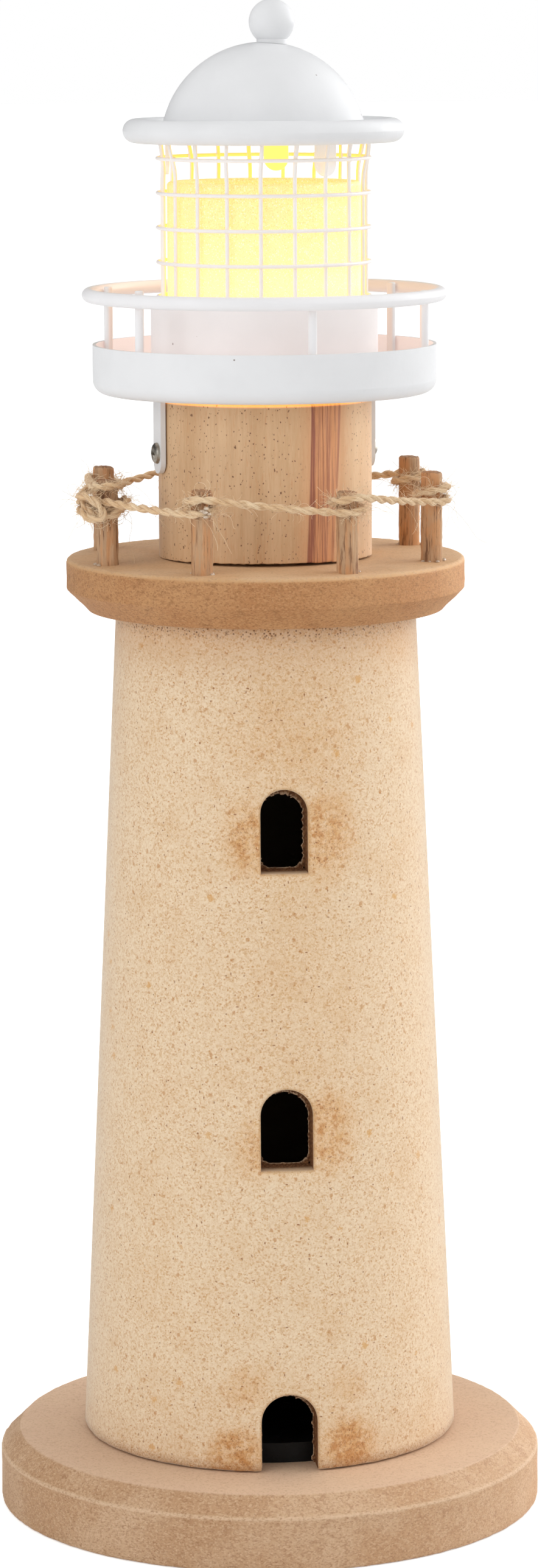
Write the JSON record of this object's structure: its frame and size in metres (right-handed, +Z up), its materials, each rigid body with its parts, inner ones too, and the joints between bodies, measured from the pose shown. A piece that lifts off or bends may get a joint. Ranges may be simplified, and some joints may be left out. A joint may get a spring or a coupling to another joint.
{
  "type": "lighthouse ornament",
  "caption": "Wooden lighthouse ornament: hollow tapered tower on a round base, roped gallery, and a white wire lantern with a lift-off domed roof over a lit glass cup.",
  "frame": {"origin": "centre of the base board's underside", "axes": "+Z up along the tower's axis; the doorway and the windows face -Y"},
  "size_m": [0.164, 0.164, 0.4509],
  "materials": {
    "base_board": "fine fibreboard, pinkish brown, uncoated",
    "shell_board": "pale speckled fibreboard, uncoated, scorched round the openings",
    "gallery_board": "brown fibreboard, uncoated",
    "neck_wood": "raw turned wood with vertical grain and a red-brown streak",
    "post_wood": "weathered dowel",
    "dark_board": "black stained board",
    "plain_board": "plain board",
    "jute": "two-strand jute twine",
    "white_metal": "satin white powder coat",
    "screw_steel": "dull zinc",
    "frosted_glass": "granular frosted glass, lit warm from inside",
    "tealight_plastic": "white plastic",
    "tip_plastic": "translucent lamp tip"
  },
  "bodies": {
    "tower": {"base_plate": "base_board", "tower_shell": "shell_board", "gallery_plate": "gallery_board", "neck": "neck_wood", "rope_post_1": "post_wood", "rope_post_2": "post_wood", "rope_post_3": "post_wood", "rope_post_4": "post_wood", "rope_post_5": "post_wood", "rope_post_6": "post_wood", "rope_post_7": "post_wood", "rope_post_8": "post_wood", "foot_disc": "dark_board", "head_disc": "plain_board", "rope": "jute", "strap_left": "white_metal", "strap_right": "white_metal", "tray": "white_metal", "drum": "white_metal", "cage_uprights": "white_metal", "cage_rings": "white_metal", "rail_ring": "white_metal", "rail_stanchion_1": "white_metal", "rail_stanchion_2": "white_metal", "rail_stanchion_3": "white_metal", "rail_stanchion_4": "white_metal", "rail_stanchion_5": "white_metal", "rail_stanchion_6": "white_metal", "base_screws": "screw_steel", "neck_screws": "screw_steel", "strap_screws": "screw_steel"},
    "roof": {"roof_dome": "white_metal", "roof_brim": "white_metal", "roof_tab_1": "white_metal", "roof_tab_2": "white_metal", "roof_tab_3": "white_metal", "finial_ball": "white_metal", "finial_screw": "screw_steel"},
    "glass": {"glass_cup": "frosted_glass"},
    "tealight": {"tealight_body": "tealight_plastic", "tealight_tip": "tip_plastic", "tealight_cover": "tealight_plastic", "tealight_battery": "screw_steel"}
  },
  "joints": [
    {"name": "roof_lift", "type": "slide", "parent": "tower", "child": "roof", "axis": [0, 0, 1], "range_m": [0, 0.16]},
    {"name": "glass_lift", "type": "slide", "parent": "tower", "child": "glass", "axis": [0, 0, 1], "range_m": [0, 0.08]},
    {"name": "tealight_lift", "type": "slide", "parent": "glass", "child": "tealight", "axis": [0, 0, 1], "range_m": [0, 0.064]}
  ],
  "couplings": [
    {"joint": "glass_lift", "follows": "roof_lift", "ratio": 0.5},
    {"joint": "tealight_lift", "follows": "roof_lift", "ratio": 0.4}
  ]
}
